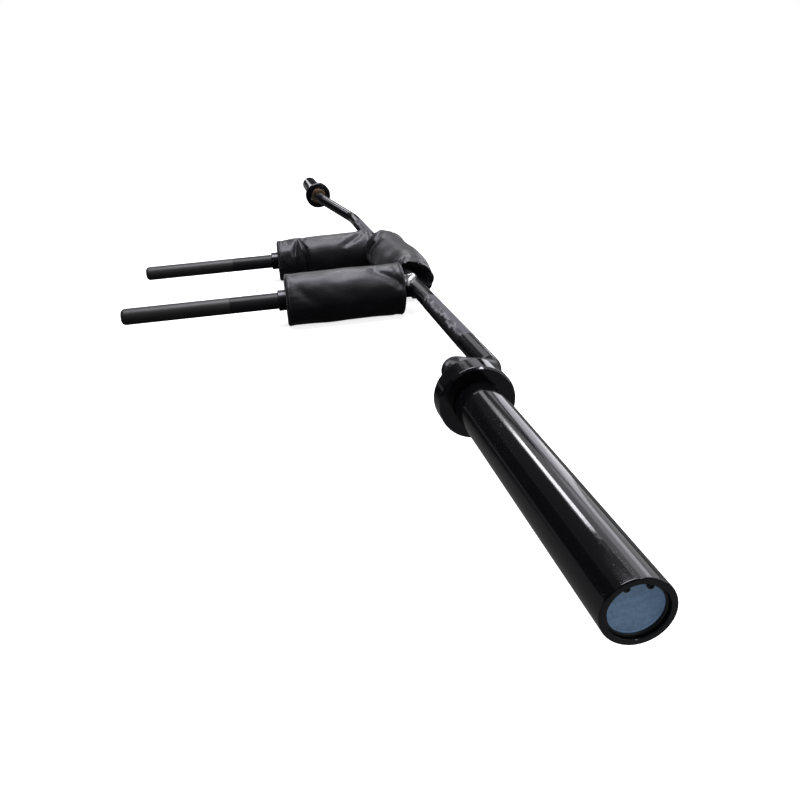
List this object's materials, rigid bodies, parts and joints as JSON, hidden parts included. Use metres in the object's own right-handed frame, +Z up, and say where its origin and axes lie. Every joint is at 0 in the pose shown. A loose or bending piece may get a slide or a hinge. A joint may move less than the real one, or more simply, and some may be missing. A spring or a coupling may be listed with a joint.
{
  "type": "safety squat bar",
  "caption": "Black safety squat bar: bent one-piece shaft with raised, forward plate sleeves that spin, padded yoke for neck and shoulders, and two straight forward handles with rubber grips.",
  "frame": {"origin": "on the surface that the bar lies on, below the middle of its bounding box; the shoulder pads rest at z = 0", "axes": "+X along the bar towards the end nearest the camera in the picture, -Y towards the handle tips, +Z up"},
  "size_m": [2.2, 0.6154, 0.147],
  "materials": {
    "sleeve_black": "deep gloss black coating, mirror smooth",
    "shaft_black": "gloss black coating; knurled bands are lighter grey",
    "rod_black": "satin black coating",
    "grip_rubber": "matte charcoal",
    "cover_fabric": "coated black cloth with a soft sheen, wrinkled",
    "foam": "dark grey closed foam, inside the covers",
    "closure_tape": "matte black hook-and-loop tape",
    "bronze": "turned bronze, oiled",
    "cap_blue": "plain steel-blue disc",
    "spring_steel": "black oxide spring steel"
  },
  "bodies": {
    "bar": {"shaft": "shaft_black", "arm_tube_right": "shaft_black", "handle_rod_right": "rod_black", "handle_grip_right": "grip_rubber", "shoulder_cover_right": "cover_fabric", "shoulder_foam_right": "foam", "shoulder_closure_right": "closure_tape", "thrust_washer_right": "spring_steel", "snap_ring_right": "spring_steel", "arm_tube_left": "shaft_black", "handle_rod_left": "rod_black", "handle_grip_left": "grip_rubber", "shoulder_cover_left": "cover_fabric", "shoulder_foam_left": "foam", "shoulder_closure_left": "closure_tape", "thrust_washer_left": "spring_steel", "snap_ring_left": "spring_steel", "neck_cover": "cover_fabric", "neck_foam": "foam", "neck_closure": "closure_tape"},
    "sleeve_right": {"sleeve_tube_right": "sleeve_black", "collar_right": "sleeve_black", "inner_bushing_right": "bronze", "outer_bushing_right": "bronze", "end_cap_right": "cap_blue", "circlip_right": "spring_steel"},
    "sleeve_left": {"sleeve_tube_left": "sleeve_black", "collar_left": "sleeve_black", "inner_bushing_left": "bronze", "outer_bushing_left": "bronze", "end_cap_left": "cap_blue", "circlip_left": "spring_steel"}
  },
  "joints": [
    {"name": "sleeve_right_spin", "type": "hinge", "parent": "bar", "child": "sleeve_right", "pos_m": [0.95, 0.16895, 0.1075], "axis": [1, 0, 0], "continuous": true},
    {"name": "sleeve_left_spin", "type": "hinge", "parent": "bar", "child": "sleeve_left", "pos_m": [-0.95, 0.16895, 0.1075], "axis": [1, 0, 0], "continuous": true}
  ]
}
